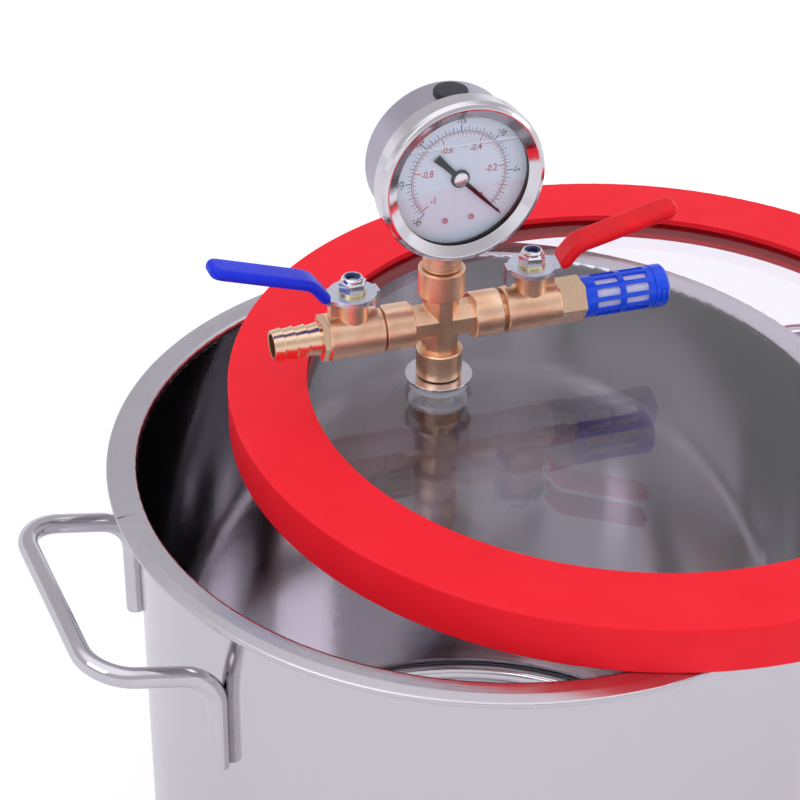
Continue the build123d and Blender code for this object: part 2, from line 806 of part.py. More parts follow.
with BuildPart() as gauge_bezel:
    with BuildSketch(section_at) as bezel_section:
        Polygon(*rings([(case_r, bezel_back), (bezel_r - 0.6, bezel_back),
                        (bezel_r, bezel_back + 1.2),
                        (bezel_r, bezel_front - 3.0),
                        (bezel_r - 0.7, bezel_front - 0.8),
                        (bezel_crest_r, bezel_front),
                        (bezel_crest_r - 0.7, bezel_front - 0.1),
                        (window_open_r, window_front + 0.25),
                        (window_open_r, window_front),
                        (case_r, window_front)]), align=None)
        fillet(bezel_section.vertices().filter_by(
            lambda v: v.X > bezel_crest_r - 0.3
            and abs(v.Y) > window_front + 0.1), 0.55)
    revolve(axis=gauge_axis)
save(gauge_bezel, "gauge_bezel")

with BuildPart() as window_gasket:
    with BuildSketch(gauge_at.offset(case_front)):
        Circle(window_r)
        Circle(window_open_r, mode=Mode.SUBTRACT)
    extrude(amount=glass_seal_thick)
save(window_gasket, "window_gasket")

with BuildPart() as gauge_window:
    with BuildSketch(gauge_at.offset(window_back)):
        Circle(window_r)
    extrude(amount=window_thick)
save(gauge_window, "gauge_window")

# connection block: squared neck outside, milled block inside
mouth_below = gauge_rise - cross_arm
block_back = -block_width / 2
with BuildPart() as gauge_socket:
    down_at = Plane(gauge_at.origin, x_dir=gauge_at.x_dir,
                    z_dir=-gauge_at.y_dir)
    with BuildSketch(down_at.offset(-block_top)):
        Rectangle(block_width, block_width)
    extrude(amount=case_r + 1 + block_top)
    with BuildSketch(down_at.offset(case_r + 1)):
        Circle(neck_round_r)
    extrude(amount=mouth_below - case_r - 1 - neck_gap)
    for groove in range(neck_groove_count):
        with BuildSketch(down_at.offset(mouth_below - neck_gap
                                        - neck_groove_pitch * (groove + 1))):
            Circle(neck_round_r)
            Circle(neck_round_r - neck_groove, mode=Mode.SUBTRACT)
        extrude(amount=neck_groove, mode=Mode.SUBTRACT)
    with BuildSketch(down_at.offset(mouth_below - neck_gap)):
        Circle(thread_r)
    extrude(amount=thread_depth + neck_gap)
    with BuildSketch(gauge_at.offset(block_front)):
        with Locations((0, -case_r / 2)):
            Rectangle(block_width + 2, case_r - 8)
    extrude(amount=block_width, mode=Mode.SUBTRACT)
    with BuildSketch(down_at.offset(tube_r)):
        with Locations((0, 0)):
            Circle(1.5)
    extrude(amount=mouth_below + thread_depth - tube_r, mode=Mode.SUBTRACT)
save(gauge_socket, "gauge_socket")

# curved pressure tube, closed at its free end
tube_mid = block_front - 0.2 - tube_width / 2
with BuildPart() as bourdon_tube:
    with BuildSketch(gauge_at.offset(tube_mid - tube_width / 2)) as tube_plan:
        with BuildLine():
            inner = CenterArc((0, 0), tube_r - tube_thick / 2, tube_start,
                              tube_end - tube_start)
            outer = CenterArc((0, 0), tube_r + tube_thick / 2, tube_start,
                              tube_end - tube_start)
            Line(inner @ 0, outer @ 0)
            Line(inner @ 1, outer @ 1)
        make_face()
        with Locations((0, tube_r * math.sin(math.radians(-90)) + 2)):
            Rectangle(block_width, block_width + 2, mode=Mode.SUBTRACT)
    extrude(amount=tube_width)
    fillet(bourdon_tube.edges().filter_by(GeomType.CIRCLE), 0.7)
save(bourdon_tube, "bourdon_tube")

# movement frame: two plates on four pillars
plate_low = block_front
plate_high = plate_low + plate_thick + plate_gap
frame_front = plate_high + plate_thick
with BuildPart() as movement_frame:
    plate_mid = (plate_top + plate_bottom) / 2
    for low in (plate_low, plate_high):
        with BuildSketch(gauge_at.offset(low)):
            with Locations((0, plate_mid)):
                RectangleRounded(2 * plate_half_width,
                                 plate_top - plate_bottom, 2)
        extrude(amount=plate_thick)
    with BuildSketch(gauge_at.offset(plate_low)):
        with Locations((-pillar_x, pillar_y), (pillar_x, pillar_y)):
            Circle(pillar_r)
    extrude(amount=frame_front - plate_low)
    with BuildSketch(gauge_at.offset(plate_low)):
        with Locations((-screw_x, screw_y), (screw_x, screw_y)):
            Circle(pillar_r)
    extrude(amount=dial_depth - plate_low)
    with BuildSketch(gauge_at.offset(plate_low)):
        with Locations((0, 0), (0, -(sector_r + pinion_r))):
            Circle(arbor_r + arbor_slack)
    extrude(amount=frame_front - plate_low, mode=Mode.SUBTRACT)
    with BuildSketch(gauge_at.offset(plate_high)):
        with Locations((-screw_x, screw_y), (screw_x, screw_y)):
            Circle(0.6)
    extrude(amount=dial_depth - plate_high, mode=Mode.SUBTRACT)
save(movement_frame, "movement_frame")

# pointer arbor with its pinion
pinion_low = plate_low + plate_thick + 0.3
pinion_high = plate_high - 0.3
with BuildPart() as pointer_shaft:
    with BuildSketch(gauge_at.offset(plate_low + 0.1)):
        Circle(arbor_r)
    extrude(amount=pointer_depth + pointer_thick + 0.6 - plate_low)
    with BuildSketch(gauge_at.offset(pinion_low)):
        Circle(pinion_r)
        with PolarLocations(pinion_r, 10):
            Circle(0.2, mode=Mode.SUBTRACT)
    extrude(amount=pinion_high - pinion_low)
save(pointer_shaft, "pointer_shaft")

# toothed quadrant on its own arbor
sector_mid = (pinion_low + pinion_high) / 2
sector_lead = 90 + sector_lean
with BuildPart() as sector_gear:
    pivot_at = Plane(gauge_at.from_local_coords(
        (0, -(sector_r + pinion_r), 0)),
        x_dir=gauge_at.x_dir, z_dir=gauge_at.z_dir)
    with BuildSketch(pivot_at.offset(sector_mid - sector_thick / 2)):
        with BuildLine():
            rim = CenterArc((0, 0), sector_r - gear_slack,
                            sector_lead - sector_spread / 2, sector_spread)
            Line((0, 0), rim @ 0)
            Line((0, 0), rim @ 1)
        make_face()
        Circle(2.2)
        with PolarLocations(sector_r - gear_slack, 13,
                            start_angle=sector_lead - sector_spread / 2 + 2,
                            angular_range=sector_spread - 4):
            Circle(0.22, mode=Mode.SUBTRACT)
        tail_at = math.radians(sector_lead + 90)
        with Locations(Location((tail_length / 2 * math.cos(tail_at),
                                 tail_length / 2 * math.sin(tail_at), 0),
                                (0, 0, sector_lead + 90))):
            SlotOverall(tail_length + 2, 2.2)
    extrude(amount=sector_thick)
    with BuildSketch(pivot_at.offset(plate_low + 0.1)):
        Circle(arbor_r)
    extrude(amount=frame_front - plate_low - 0.2)
save(sector_gear, "sector_gear")

# link from the tube's free end towards the quadrant's tail
tip_angle = math.radians(tube_end - 4)
tip = (tube_r * math.cos(tip_angle), tube_r * math.sin(tip_angle))
link_low = block_front - 0.2
pull = (-tail_length - 5.2, -(sector_r + pinion_r) - 1)
link_length = math.dist(tip, pull)
link_angle = math.degrees(math.atan2(pull[1] - tip[1], pull[0] - tip[0]))
with BuildPart() as movement_link:
    with BuildSketch(gauge_at.offset(link_low)):
        with Locations(Location(((tip[0] + pull[0]) / 2,
                                 (tip[1] + pull[1]) / 2, 0),
                                (0, 0, link_angle))):
            SlotCenterToCenter(link_length, 2.0)
    extrude(amount=0.6)
save(movement_link, "movement_link")

with BuildPart() as gauge_dial:
    with BuildSketch(gauge_at.offset(dial_depth)):
        Circle(dial_r)
        Circle(dial_hole_r, mode=Mode.SUBTRACT)
        with Locations((-screw_x, screw_y), (screw_x, screw_y)):
            Circle(0.6, mode=Mode.SUBTRACT)
    extrude(amount=dial_thick)
save(gauge_dial, "gauge_dial")

with BuildPart() as dial_screws:
    for x in (-screw_x, screw_x):
        with BuildSketch(gauge_at.offset(plate_high)):
            with Locations((x, screw_y)):
                Circle(0.6)
        extrude(amount=dial_depth + dial_thick - plate_high)
        with BuildSketch(gauge_at.offset(dial_depth + dial_thick)):
            with Locations((x, screw_y)):
                Circle(1.25)
        extrude(amount=0.75)
        with BuildSketch(gauge_at.offset(dial_depth + dial_thick + 0.45)):
            with Locations((x, screw_y)):
                Rectangle(2.6, 0.4, rotation=25)
        extrude(amount=0.4, mode=Mode.SUBTRACT)
save(dial_screws, "dial_screws")

# pointer: needle, broad tail and a turned hub
with BuildPart() as gauge_pointer:
    needle_at = turned_plane(gauge_at, pointer_angle)
    with BuildSketch(needle_at.offset(pointer_depth)):
        Circle(pointer_hub_r)
    extrude(amount=pointer_thick + 1.1)
    chamfer(gauge_pointer.edges().filter_by(
        lambda e: gauge_at.to_local_coords(e.center()).Z
        > pointer_depth + 1), 0.4)
    with BuildSketch(needle_at.offset(pointer_depth)):
        Polygon((-pointer_tail, -1.7), (-pointer_tail + 6, -1.2),
                (0, -1.0), (pointer_length * 0.62, -0.7),
                (pointer_length, -0.2), (pointer_length, 0.2),
                (pointer_length * 0.62, 0.7), (0, 1.0),
                (-pointer_tail + 6, 1.2), (-pointer_tail, 1.7), align=None)
        Circle(pointer_hub_r + 0.8)
    extrude(amount=pointer_thick)
    with BuildSketch(needle_at.offset(pointer_depth)):
        Circle(arbor_r)
    extrude(amount=pointer_thick + 0.7, mode=Mode.SUBTRACT)
save(gauge_pointer, "gauge_pointer")

# rubber plug in the case's top
with BuildPart() as fill_plug:
    plug_at = Plane(gauge_at.from_local_coords((0, 0, plug_forward)),
                    x_dir=gauge_at.x_dir, z_dir=gauge_at.y_dir)
    with BuildSketch(plug_at.offset(case_r - 1.2)):
        Circle(plug_r)
    extrude(amount=plug_height + 1.2)
    fillet(fill_plug.faces().sort_by(Axis.Z)[-1].edges(), 0.9)
    with BuildSketch(gauge_at.offset(case_back)):
        Circle(case_r)
    extrude(amount=case_front - case_back, mode=Mode.SUBTRACT)
    with BuildSketch(plug_at.offset(case_r - 3)):
        Circle(plug_shank_r)
    extrude(amount=4)
save(fill_plug, "fill_plug")

print("pot height", round(pot_height, 2), "pipe height",
      round(pot_height + pipe_z, 2))
print("port", tuple(round(v, 3) for v in port_at.origin),
      "blue stem", tuple(round(v, 3) for v in blue_at.origin),
      "red stem", tuple(round(v, 3) for v in red_at.origin))
print("gauge centre", tuple(round(v, 3) for v in gauge_at.origin),
      "facing", tuple(round(v, 5) for v in gauge_at.z_dir))
print("pipe direction", tuple(round(v, 5) for v in pipe_at.x_dir))
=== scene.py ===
import json
import math

import bmesh
import bpy
from mathutils import Matrix, Vector


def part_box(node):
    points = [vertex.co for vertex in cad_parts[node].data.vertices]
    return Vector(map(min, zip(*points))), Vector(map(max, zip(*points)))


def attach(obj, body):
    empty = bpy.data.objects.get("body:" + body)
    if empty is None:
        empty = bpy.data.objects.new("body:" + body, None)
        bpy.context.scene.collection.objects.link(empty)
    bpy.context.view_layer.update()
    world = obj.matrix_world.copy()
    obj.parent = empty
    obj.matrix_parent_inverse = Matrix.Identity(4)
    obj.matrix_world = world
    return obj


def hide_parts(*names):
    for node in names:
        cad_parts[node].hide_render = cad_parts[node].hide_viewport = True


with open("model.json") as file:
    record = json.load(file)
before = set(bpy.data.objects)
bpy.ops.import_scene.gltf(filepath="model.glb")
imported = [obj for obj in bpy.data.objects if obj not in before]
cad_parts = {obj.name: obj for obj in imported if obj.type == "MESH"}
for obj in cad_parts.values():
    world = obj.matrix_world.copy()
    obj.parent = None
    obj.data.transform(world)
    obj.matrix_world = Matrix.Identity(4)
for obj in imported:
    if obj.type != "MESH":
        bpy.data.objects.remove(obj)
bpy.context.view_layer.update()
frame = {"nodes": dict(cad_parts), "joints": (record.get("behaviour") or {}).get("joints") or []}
nodes = frame["nodes"]
joints = {joint["name"]: joint for joint in frame["joints"]}
mm = 0.001
print("frame loaded:", len(nodes), "pieces")


# Small helpers for shader trees.

def addNode(tree, kind, inputs=None, **settings):
    node = tree.nodes.new("ShaderNode" + kind)
    for name, value in settings.items():
        setattr(node, name, value)
    for name, value in (inputs or {}).items():
        if isinstance(value, bpy.types.NodeSocket):
            tree.links.new(value, node.inputs[name])
        else:
            node.inputs[name].default_value = value
    return node


def mathNode(tree, operation, first, second=None, clamp=False):
    values = [v for v in (first, second) if v is not None]
    node = addNode(tree, "Math", dict(enumerate(values)),
                   operation=operation, use_clamp=clamp)
    return node.outputs[0]


def mixColours(tree, mask, low, high, blend="MIX"):
    # sockets 6 and 7 are the two colours of a colour Mix node, 2 is its result
    node = addNode(tree, "Mix", {0: mask, 6: low, 7: high},
                   data_type="RGBA", blend_type=blend)
    return node.outputs[2]


def spread(tree, value, low, high, fromLow=0.0, fromHigh=1.0):
    node = addNode(tree, "MapRange", {"Value": value, "From Min": fromLow,
                                      "From Max": fromHigh, "To Min": low,
                                      "To Max": high})
    return node.outputs["Result"]


def newGroup(name, inputs, outputs):
    group = bpy.data.node_groups.new(name, "ShaderNodeTree")
    for label, kind, value in inputs:
        socket = group.interface.new_socket(
            name=label, in_out="INPUT", socket_type="NodeSocket" + kind)
        socket.default_value = value
    for label, kind in outputs:
        group.interface.new_socket(
            name=label, in_out="OUTPUT", socket_type="NodeSocket" + kind)
    entry = group.nodes.new("NodeGroupInput")
    leave = group.nodes.new("NodeGroupOutput")
    return group, entry.outputs, leave.inputs


def placeGroup(tree, group, inputs=None):
    return addNode(tree, "Group", inputs, node_tree=group).outputs


# Fine lines that run round the Z axis of the coordinates, as turning,
# spinning and ring polishing leave them.
def makeTurnedLines():
    group, into, out = newGroup(
        "turnedLines",
        [("Vector", "Vector", (0, 0, 0)), ("Around", "Float", 2.0),
         ("Across", "Float", 3000.0)],
        [("Value", "Float")])
    parts = addNode(group, "SeparateXYZ", {"Vector": into["Vector"]}).outputs
    square = mathNode(group, "ADD",
                      mathNode(group, "MULTIPLY", parts["X"], parts["X"]),
                      mathNode(group, "MULTIPLY", parts["Y"], parts["Y"]))
    radius = mathNode(group, "SQRT", mathNode(group, "ADD", square, 1e-9))
    turn = [mathNode(group, "MULTIPLY",
                     mathNode(group, "DIVIDE", parts[axis], radius),
                     into["Around"]) for axis in ("X", "Y")]
    height = mathNode(group, "MULTIPLY", parts["Z"], into["Across"])
    ring = addNode(group, "CombineXYZ", {"X": turn[0], "Y": turn[1],
                                         "Z": height})
    lines = addNode(group, "TexNoise",
                    {"Vector": ring.outputs[0],
                     "W": mathNode(group, "MULTIPLY", radius, into["Across"]),
                     "Scale": 1.0, "Detail": 3.0, "Roughness": 0.65},
                    noise_dimensions="4D")
    group.links.new(lines.outputs["Fac"], out["Value"])
    return group


# Sand-cast skin: fine pits over a softer swell, and a patchy tone.
def makeCastSkin():
    group, into, out = newGroup(
        "castSkin",
        [("Vector", "Vector", (0, 0, 0)), ("Grain", "Float", 2200.0)],
        [("Height", "Float"), ("Tone", "Float")])
    fine = addNode(group, "TexNoise",
                   {"Vector": into["Vector"], "Scale": into["Grain"],
                    "Detail": 2.0, "Roughness": 0.7})
    swell = addNode(group, "TexNoise",
                    {"Vector": into["Vector"], "Detail": 1.0,
                     "Scale": mathNode(group, "MULTIPLY", into["Grain"], 0.3)})
    tone = addNode(group, "TexNoise",
                   {"Vector": into["Vector"], "Detail": 3.0,
                    "Scale": mathNode(group, "MULTIPLY", into["Grain"], 0.08)})
    height = mathNode(group, "ADD",
                      mathNode(group, "MULTIPLY", fine.outputs["Fac"], 0.6),
                      mathNode(group, "MULTIPLY", swell.outputs["Fac"], 0.4))
    group.links.new(height, out["Height"])
    group.links.new(spread(group, tone.outputs["Fac"], 0, 1, 0.35, 0.65),
                    out["Tone"])
    return group


# Rubbed edges: where a rounded normal leaves the true one.
def makeEdgeWear():
    group, into, out = newGroup(
        "edgeWear",
        [("Vector", "Vector", (0, 0, 0)), ("Reach", "Float", 0.4 * mm),
         ("Break", "Float", 900.0)],
        [("Mask", "Float")])
    rounded = addNode(group, "Bevel", {"Radius": into["Reach"]}, samples=4)
    plain = addNode(group, "NewGeometry")
    near = addNode(group, "VectorMath",
                   {0: rounded.outputs["Normal"], 1: plain.outputs["Normal"]},
                   operation="DOT_PRODUCT")
    edge = spread(group, near.outputs["Value"], 0, 1, 0.99, 0.86)
    broken = addNode(group, "TexNoise",
                     {"Vector": into["Vector"], "Scale": into["Break"],
                      "Detail": 2.0})
    mask = mathNode(group, "MULTIPLY", edge,
                    spread(group, broken.outputs["Fac"], 0.3, 1, 0.35, 0.6),
                    clamp=True)
    group.links.new(mask, out["Mask"])
    return group


# Edges that catch light as if broken by a light chamfer.
def makeSoftEdge():
    group, into, out = newGroup(
        "softEdge", [("Reach", "Float", 0.25 * mm)], [("Normal", "Vector")])
    rounded = addNode(group, "Bevel", {"Radius": into["Reach"]}, samples=4)
    group.links.new(rounded.outputs["Normal"], out["Normal"])
    return group


# Handling marks: a slow change of polish between two roughness values.
def makeSmudges():
    group, into, out = newGroup(
        "smudges",
        [("Vector", "Vector", (0, 0, 0)), ("Size", "Float", 60.0),
         ("Low", "Float", 0.1), ("High", "Float", 0.2)],
        [("Value", "Float")])
    patch = addNode(group, "TexNoise",
                    {"Vector": into["Vector"], "Scale": into["Size"],
                     "Detail": 5.0, "Roughness": 0.6, "Distortion": 0.4})
    value = addNode(group, "MapRange",
                    {"Value": patch.outputs["Fac"], "From Min": 0.35,
                     "From Max": 0.68, "To Min": into["Low"],
                     "To Max": into["High"]})
    group.links.new(value.outputs["Result"], out["Value"])
    return group


turnedLines = makeTurnedLines()
castSkin = makeCastSkin()
edgeWear = makeEdgeWear()
softEdge = makeSoftEdge()
smudges = makeSmudges()
print("shared effects ready")


def newMaterial(name, look):
    material = bpy.data.materials.new(name)
    material.use_nodes = True
    shader = material.node_tree.nodes["Principled BSDF"]
    for socket, value in look.items():
        shader.inputs[socket].default_value = value
    return material, material.node_tree, shader


def objectPlace(tree, origin=(0, 0, 0), turn=(0, 0, 0)):
    # object coordinates, moved and turned to a piece's own axis
    place = addNode(tree, "TexCoord").outputs["Object"]
    if origin == (0, 0, 0) and turn == (0, 0, 0):
        return place
    moved = addNode(tree, "Mapping",
                    {"Vector": place, "Location": origin, "Rotation": turn},
                    vector_type="TEXTURE")
    return moved.outputs["Vector"]


# A metal finish. finish holds the plain values; lines, cast and edges are
# strengths, and 0 leaves the effect out.
def makeMetal(name, finish):
    material, tree, shader = newMaterial(name, {
        "Metallic": 1.0, "Base Color": (*finish["colour"], 1),
        "Roughness": finish["polish"][0]})
    place = objectPlace(tree, finish.get("origin", (0, 0, 0)),
                        finish.get("turn", (0, 0, 0)))
    polish = placeGroup(tree, smudges, {
        "Vector": place, "Size": finish.get("smudgeSize", 60.0),
        "Low": finish["polish"][0], "High": finish["polish"][1]})["Value"]
    colour = (*finish["colour"], 1)
    normal = placeGroup(tree, softEdge, {
        "Reach": finish.get("softReach", 0.2 * mm)})["Normal"]
    if finish.get("cast"):
        skin = placeGroup(tree, castSkin, {
            "Vector": place, "Grain": finish.get("grain", 2200.0)})
        colour = mixColours(tree, skin["Tone"], (*finish["colour"], 1),
                            (*finish["tone"], 1))
        normal = addNode(tree, "Bump", {
            "Height": skin["Height"], "Strength": finish["cast"],
            "Distance": finish.get("castDepth", 0.12 * mm),
            "Normal": normal}).outputs["Normal"]
    if finish.get("lines"):
        lines = placeGroup(tree, turnedLines, {
            "Vector": place, "Around": finish.get("around", 2.0),
            "Across": finish.get("across", 3000.0)})["Value"]
        normal = addNode(tree, "Bump", {
            "Height": lines, "Strength": finish["lines"],
            "Distance": finish.get("lineDepth", 0.02 * mm),
            "Normal": normal}).outputs["Normal"]
        polish = mathNode(tree, "ADD", polish,
                          spread(tree, lines, -0.03, 0.05, 0.3, 0.7),
                          clamp=True)
    if finish.get("edges"):
        worn = placeGroup(tree, edgeWear, {"Vector": place})["Mask"]
        worn = mathNode(tree, "MULTIPLY", worn, finish["edges"])
        colour = mixColours(tree, worn, colour, (*finish["worn"], 1))
        polish = mathNode(tree, "SUBTRACT", polish,
                          mathNode(tree, "MULTIPLY", worn, 0.1), clamp=True)
    if isinstance(colour, bpy.types.NodeSocket):
        tree.links.new(colour, shader.inputs["Base Color"])
    tree.links.new(polish, shader.inputs["Roughness"])
    tree.links.new(normal, shader.inputs["Normal"])
    return material


# Rubber, plastic, felt and print: a tone that drifts, a grain in the skin.
def makePlain(name, finish):
    look = {"Base Color": (*finish["colour"], 1),
            "Roughness": finish["polish"][0]}
    look.update(finish.get("sockets", {}))
    material, tree, shader = newMaterial(name, look)
    place = objectPlace(tree)
    polish = placeGroup(tree, smudges, {
        "Vector": place, "Size": finish.get("smudgeSize", 80.0),
        "Low": finish["polish"][0], "High": finish["polish"][1]})["Value"]
    skin = placeGroup(tree, castSkin, {
        "Vector": place, "Grain": finish.get("grain", 1500.0)})
    colour = mixColours(tree, skin["Tone"], (*finish["colour"], 1),
                        (*finish["tone"], 1))
    normal = placeGroup(tree, softEdge, {
        "Reach": finish.get("softReach", 0.25 * mm)})["Normal"]
    normal = addNode(tree, "Bump", {
        "Height": skin["Height"], "Strength": finish["skin"],
        "Distance": finish.get("skinDepth", 0.1 * mm),
        "Normal": normal}).outputs["Normal"]
    if finish.get("edges"):
        worn = placeGroup(tree, edgeWear, {"Vector": place})["Mask"]
        worn = mathNode(tree, "MULTIPLY", worn, finish["edges"])
        colour = mixColours(tree, worn, colour, (*finish["worn"], 1))
    tree.links.new(colour, shader.inputs["Base Color"])
    tree.links.new(polish, shader.inputs["Roughness"])
    tree.links.new(normal, shader.inputs["Normal"])
    return material


# Clear pieces; hole gives a drilled hole its ground wall.
def makeClear(name, finish):
    material, tree, shader = newMaterial(name, {
        "Base Color": (*finish["colour"], 1), "Roughness": finish["polish"],
        "IOR": finish["ior"], "Transmission Weight": 1.0, "Metallic": 0.0})
    if finish.get("hole"):
        place = addNode(tree, "VectorMath",
                        {0: objectPlace(tree), 1: (1, 1, 0)},
                        operation="MULTIPLY").outputs["Vector"]
        away = addNode(tree, "VectorMath", {0: place, 1: finish["hole"]},
                       operation="DISTANCE").outputs["Value"]
        ground = mathNode(tree, "LESS_THAN", away, finish["holeRadius"])
        tree.links.new(spread(tree, ground, finish["polish"],
                              finish["groundPolish"]),
                       shader.inputs["Roughness"])
        tree.links.new(mixColours(tree, ground, (*finish["colour"], 1),
                                  (*finish["groundColour"], 1)),
                       shader.inputs["Base Color"])
    return material


# The places that several finishes need.
pipeCentre = Vector(joints["blue_lever_turn"]["pos_m"]).lerp(
    Vector(joints["red_lever_turn"]["pos_m"]), 0.5)
stems = {colour: Vector(joints[colour + "_lever_turn"]["pos_m"])
         for colour in ("blue", "red")}
pipeAlong = (stems["red"] - stems["blue"]).normalized()
pipeTurn = (0.0, math.pi / 2, math.atan2(pipeAlong.y, pipeAlong.x))
gaugeCentre = Vector(joints["pointer_turn"]["pos_m"])
gaugeFacing = Vector(joints["pointer_turn"]["axis"]).normalized()
gaugeRight = Vector((0, 0, 1)).cross(gaugeFacing).normalized()
gaugeTurn = (math.pi / 2, 0.0, math.atan2(gaugeRight.y, gaugeRight.x))

steelColour = (0.64, 0.62, 0.65)
finishes = {
    "potSteel": {"colour": steelColour, "polish": (0.07, 0.13),
                 "smudgeSize": 18.0, "lines": 0.35, "around": 5.0,
                 "across": 900.0, "lineDepth": 0.012 * mm},
    "rimSteel": {"colour": (0.62, 0.60, 0.63), "polish": (0.20, 0.28),
                 "lines": 0.8, "around": 3.0, "across": 2600.0,
                 "edges": 0.5, "worn": (0.78, 0.77, 0.80)},
    "handleSteel": {"colour": (0.66, 0.64, 0.66), "polish": (0.07, 0.12),
                    "smudgeSize": 40.0, "cast": 0.06,
                    "tone": (0.62, 0.60, 0.63), "grain": 900.0},
    "seamSteel": {"colour": (0.16, 0.14, 0.15), "polish": (0.3, 0.45),
                  "cast": 0.4, "tone": (0.26, 0.24, 0.26)},
    "caseSteel": {"colour": (0.50, 0.48, 0.55), "polish": (0.30, 0.38),
                  "smudgeSize": 30.0, "lines": 0.35, "across": 1800.0,
                  "origin": tuple(gaugeCentre), "turn": gaugeTurn},
    "bezelSteel": {"colour": (0.74, 0.72, 0.74), "polish": (0.06, 0.10),
                   "lines": 0.12, "across": 1500.0,
                   "origin": tuple(gaugeCentre), "turn": gaugeTurn},
    "washerSteel": {"colour": (0.74, 0.72, 0.76), "polish": (0.06, 0.12),
                    "cast": 0.04, "tone": (0.70, 0.68, 0.72),
                    "edges": 0.3, "worn": (0.90, 0.89, 0.92)},
    "zincPlate": {"colour": (0.80, 0.83, 0.92), "polish": (0.24, 0.36),
                  "smudgeSize": 200.0, "cast": 0.12,
                  "tone": (0.74, 0.77, 0.87), "grain": 1100.0,
                  "edges": 0.5, "worn": (0.84, 0.86, 0.92)},
    "nutSteel": {"colour": (0.82, 0.81, 0.86), "polish": (0.12, 0.22),
                 "smudgeSize": 300.0, "edges": 0.7,
                 "worn": (0.88, 0.88, 0.92)},
    "yellowZinc": {"colour": (0.80, 0.64, 0.30), "polish": (0.16, 0.26),
                   "smudgeSize": 400.0, "cast": 0.1,
                   "tone": (0.68, 0.62, 0.36), "grain": 2600.0},
    "castBrass": {"colour": (0.95, 0.66, 0.46), "polish": (0.28, 0.38),
                  "smudgeSize": 150.0, "cast": 1.0, "castDepth": 0.16 * mm,
                  "tone": (0.86, 0.52, 0.33), "grain": 1500.0,
                  "edges": 0.75, "worn": (1.0, 0.84, 0.64),
                  "softReach": 0.3 * mm},
    "turnedBrass": {"colour": (0.90, 0.63, 0.42), "polish": (0.18, 0.27),
                    "smudgeSize": 200.0, "lines": 0.55, "around": 1.2,
                    "across": 4200.0, "origin": tuple(pipeCentre),
                    "turn": pipeTurn, "edges": 0.7,
                    "worn": (1.0, 0.86, 0.66)},
    "uprightBrass": {"colour": (0.89, 0.60, 0.38), "polish": (0.18, 0.27),
                     "smudgeSize": 200.0, "lines": 0.5, "around": 1.2,
                     "across": 4200.0, "edges": 0.7,
                     "origin": (gaugeCentre.x, gaugeCentre.y, 0.0),
                     "worn": (1.0, 0.86, 0.66)},
    "clockBrass": {"colour": (0.80, 0.62, 0.30), "polish": (0.2, 0.3),
                   "cast": 0.1, "tone": (0.74, 0.56, 0.27)},
    "ballChrome": {"colour": (0.80, 0.80, 0.83), "polish": (0.04, 0.07)},
    "shaftSteel": {"colour": (0.70, 0.69, 0.73), "polish": (0.15, 0.22)},
}
metals = {name: makeMetal(name, finish) for name, finish in finishes.items()}

plainFinishes = {
    "redSilicone": {"colour": (0.97, 0.013, 0.028), "polish": (0.45, 0.58),
                    "tone": (0.93, 0.011, 0.024), "skin": 0.25,
                    "grain": 500.0, "smudgeSize": 25.0,
                    "sockets": {"Specular IOR Level": 0.2}},
    "whiteSilicone": {"colour": (0.78, 0.78, 0.82), "polish": (0.3, 0.4),
                      "tone": (0.74, 0.74, 0.80), "skin": 0.1,
                      "sockets": {"Transmission Weight": 0.25}},
    "blackRubber": {"colour": (0.010, 0.010, 0.014), "polish": (0.35, 0.5),
                    "tone": (0.016, 0.015, 0.02), "skin": 0.3},
    "blueVinyl": {"colour": (0.008, 0.034, 0.78), "polish": (0.30, 0.38),
                  "tone": (0.010, 0.026, 0.66), "skin": 0.12,
                  "grain": 700.0,
                  "sockets": {"Specular IOR Level": 0.22}},
    "redVinyl": {"colour": (0.90, 0.009, 0.018), "polish": (0.32, 0.40),
                 "tone": (0.74, 0.008, 0.016), "skin": 0.12,
                 "grain": 700.0,
                 "sockets": {"Specular IOR Level": 0.18}},
    "ptfeWhite": {"colour": (0.82, 0.82, 0.80), "polish": (0.35, 0.45),
                  "tone": (0.78, 0.78, 0.76), "skin": 0.1},
    "mouldedBlue": {"colour": (0.006, 0.085, 0.93), "polish": (0.22, 0.30),
                    "tone": (0.005, 0.075, 0.86), "skin": 0.15,
                    "grain": 900.0,
                    "sockets": {"Specular IOR Level": 0.4}},
    "whiteFelt": {"colour": (0.74, 0.76, 0.88), "polish": (0.85, 0.95),
                  "tone": (0.66, 0.68, 0.82), "skin": 0.9,
                  "grain": 3200.0, "skinDepth": 0.3 * mm,
                  "sockets": {"Sheen Weight": 0.3}},
    "dialPaintAndGlow": {"colour": (0.80, 0.84, 1.0), "polish": (0.5, 0.6),
                  "tone": (0.78, 0.82, 0.98), "skin": 0.05,
                  # the faint emission is painted light: a glow standing in for the light that
                  # the window and the recess keep off the dial
                  "sockets": {"Emission Color": (0.7, 0.9, 1.0, 1),
                              "Emission Strength": 0.1}},
    "dialBlack": {"colour": (0.012, 0.012, 0.02), "polish": (0.4, 0.5),
                  "tone": (0.02, 0.02, 0.03), "skin": 0.05},
    "dialRed": {"colour": (0.62, 0.06, 0.08), "polish": (0.4, 0.5),
                "tone": (0.58, 0.05, 0.07), "skin": 0.05},
    "pointerPaint": {"colour": (0.010, 0.010, 0.016), "polish": (0.5, 0.6),
                     "tone": (0.014, 0.014, 0.02), "skin": 0.1,
                     "sockets": {"Specular IOR Level": 0.2}},
    "nylonBlue": {"colour": (0.015, 0.05, 0.22), "polish": (0.3, 0.4),
                  "tone": (0.012, 0.04, 0.18), "skin": 0.1},
}
plains = {name: makePlain(name, finish)
          for name, finish in plainFinishes.items()}

